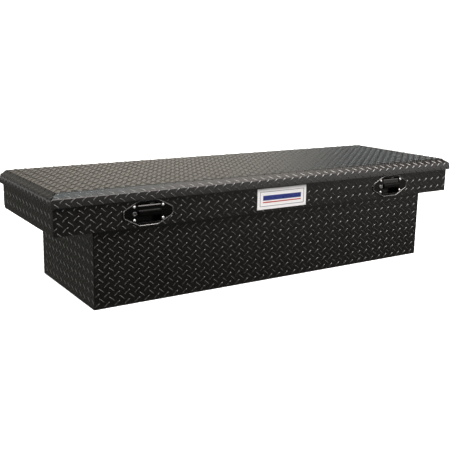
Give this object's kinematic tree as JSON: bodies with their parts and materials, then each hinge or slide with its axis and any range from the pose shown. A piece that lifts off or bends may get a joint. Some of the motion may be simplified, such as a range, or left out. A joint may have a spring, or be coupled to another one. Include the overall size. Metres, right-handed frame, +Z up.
{
  "type": "crossover truck tool box",
  "caption": "Black tread-plate tool box that spans a pickup bed on its rails, with a hinged bevelled lid on gas struts and keyed paddle latches over a deep tub.",
  "frame": {"origin": "centre of the overall footprint, on the underside of the tub", "axes": "+X along the box to its right-hand end seen from the front, +Y to the rear where the lid hinge is, +Z up"},
  "size_m": [1.768, 0.544, 0.404],
  "materials": {
    "powder_coated_tread_plate": "black powder coat over tread plate",
    "black_latch_coat": "gloss black",
    "black_enamel": "satin black",
    "mill_aluminium": "mill finish",
    "hinge_steel": "dark coated steel",
    "zinc_plated_steel": "zinc plated",
    "spring_wire": "bright wire",
    "bright_screw": "bright plated",
    "lock_chrome": "bright plated",
    "chromed_rod": "polished",
    "rubber_seal": "black rubber",
    "badge_plate": "brushed silver plate"
  },
  "bodies": {
    "box": {"tub_shell": "powder_coated_tread_plate", "left_tub_end": "powder_coated_tread_plate", "right_tub_end": "powder_coated_tread_plate", "left_wing": "powder_coated_tread_plate", "right_wing": "powder_coated_tread_plate", "front_rail": "powder_coated_tread_plate", "rear_rail": "powder_coated_tread_plate", "rim_seal": "rubber_seal", "name_plate": "badge_plate", "hinge_leaf_body": "hinge_steel", "hinge_pin": "hinge_steel", "left_latch_dish": "black_latch_coat", "left_latch_gasket": "rubber_seal", "left_paddle_pin": "zinc_plated_steel", "left_paddle_spring": "spring_wire", "left_latch_screw_1": "bright_screw", "left_latch_screw_2": "bright_screw", "left_latch_screw_3": "bright_screw", "left_latch_screw_4": "bright_screw", "left_latch_frame": "zinc_plated_steel", "left_rotor_pivot": "zinc_plated_steel", "left_sear_pivot": "zinc_plated_steel", "left_strut_foot_bracket": "zinc_plated_steel", "right_latch_dish": "black_latch_coat", "right_latch_gasket": "rubber_seal", "right_paddle_pin": "zinc_plated_steel", "right_paddle_spring": "spring_wire", "right_latch_screw_1": "bright_screw", "right_latch_screw_2": "bright_screw", "right_latch_screw_3": "bright_screw", "right_latch_screw_4": "bright_screw", "right_latch_frame": "zinc_plated_steel", "right_rotor_pivot": "zinc_plated_steel", "right_sear_pivot": "zinc_plated_steel", "right_strut_foot_bracket": "zinc_plated_steel"},
    "lid": {"lid_skin": "powder_coated_tread_plate", "front_lid_stiffener": "mill_aluminium", "rear_lid_stiffener": "mill_aluminium", "hinge_leaf_lid": "hinge_steel", "left_striker": "zinc_plated_steel", "left_strut_lid_bracket": "zinc_plated_steel", "right_striker": "zinc_plated_steel", "right_strut_lid_bracket": "zinc_plated_steel"},
    "left_strut_tube": {"left_strut_cylinder": "black_enamel"},
    "left_strut_shaft": {"left_strut_rod": "chromed_rod"},
    "left_paddle": {"left_latch_paddle": "black_latch_coat"},
    "left_sear": {"left_latch_sear": "zinc_plated_steel"},
    "left_rotor": {"left_latch_rotor": "zinc_plated_steel"},
    "left_key": {"left_lock_cylinder": "lock_chrome", "left_lock_cam": "zinc_plated_steel"},
    "right_strut_tube": {"right_strut_cylinder": "black_enamel"},
    "right_strut_shaft": {"right_strut_rod": "chromed_rod"},
    "right_paddle": {"right_latch_paddle": "black_latch_coat"},
    "right_sear": {"right_latch_sear": "zinc_plated_steel"},
    "right_rotor": {"right_latch_rotor": "zinc_plated_steel"},
    "right_key": {"right_lock_cylinder": "lock_chrome", "right_lock_cam": "zinc_plated_steel"}
  },
  "joints": [
    {"name": "lid_hinge", "type": "hinge", "parent": "box", "child": "lid", "pos_m": [0, 0.2651, 0.379], "axis": [-1, 0, 0], "range_deg": [0, 60]},
    {"name": "left_strut_swing", "type": "hinge", "parent": "box", "child": "left_strut_tube", "pos_m": [-0.826, 0.23651, 0.28348], "axis": [-1, 0, 0], "range_deg": [0, 44]},
    {"name": "left_strut_extend", "type": "slide", "parent": "left_strut_tube", "child": "left_strut_shaft", "axis": [0, -0.8434, 0.5372], "range_m": [0, 0.0806]},
    {"name": "left_paddle_pull", "type": "hinge", "parent": "box", "child": "left_paddle", "pos_m": [-0.546, -0.254, 0.343], "axis": [-1, 0, 0], "range_deg": [0, 30], "stiffness_Nm_per_rad": 0.4, "springref_deg": -28.65},
    {"name": "left_sear_release", "type": "hinge", "parent": "box", "child": "left_sear", "pos_m": [-0.546, -0.172, 0.292], "axis": [1, 0, 0], "range_deg": [0, 15.1]},
    {"name": "left_rotor_turn", "type": "hinge", "parent": "box", "child": "left_rotor", "pos_m": [-0.546, -0.198, 0.334], "axis": [1, 0, 0], "range_deg": [0, 50], "stiffness_Nm_per_rad": 0.1, "springref_deg": -22.92},
    {"name": "left_key_turn", "type": "hinge", "parent": "box", "child": "left_key", "pos_m": [-0.5985, -0.24, 0.3145], "axis": [0, -1, 0], "range_deg": [0, 90]},
    {"name": "right_strut_swing", "type": "hinge", "parent": "box", "child": "right_strut_tube", "pos_m": [0.826, 0.23651, 0.28348], "axis": [-1, 0, 0], "range_deg": [0, 44]},
    {"name": "right_strut_extend", "type": "slide", "parent": "right_strut_tube", "child": "right_strut_shaft", "axis": [0, -0.8434, 0.5372], "range_m": [0, 0.0806]},
    {"name": "right_paddle_pull", "type": "hinge", "parent": "box", "child": "right_paddle", "pos_m": [0.546, -0.254, 0.343], "axis": [-1, 0, 0], "range_deg": [0, 30], "stiffness_Nm_per_rad": 0.4, "springref_deg": -28.65},
    {"name": "right_sear_release", "type": "hinge", "parent": "box", "child": "right_sear", "pos_m": [0.546, -0.172, 0.292], "axis": [1, 0, 0], "range_deg": [0, 15.1]},
    {"name": "right_rotor_turn", "type": "hinge", "parent": "box", "child": "right_rotor", "pos_m": [0.546, -0.198, 0.334], "axis": [1, 0, 0], "range_deg": [0, 50], "stiffness_Nm_per_rad": 0.1, "springref_deg": -22.92},
    {"name": "right_key_turn", "type": "hinge", "parent": "box", "child": "right_key", "pos_m": [0.4935, -0.24, 0.3145], "axis": [0, -1, 0], "range_deg": [0, 90]}
  ],
  "couplings": [
    {"joint": "left_strut_swing", "follows": "lid_hinge", "ratio": 0.732},
    {"joint": "left_strut_extend", "follows": "lid_hinge", "m_per_rad": 0.076905},
    {"joint": "left_sear_release", "follows": "left_paddle_pull", "ratio": 0.5},
    {"joint": "right_strut_swing", "follows": "lid_hinge", "ratio": 0.732},
    {"joint": "right_strut_extend", "follows": "lid_hinge", "m_per_rad": 0.076905},
    {"joint": "right_sear_release", "follows": "right_paddle_pull", "ratio": 0.5}
  ]
}
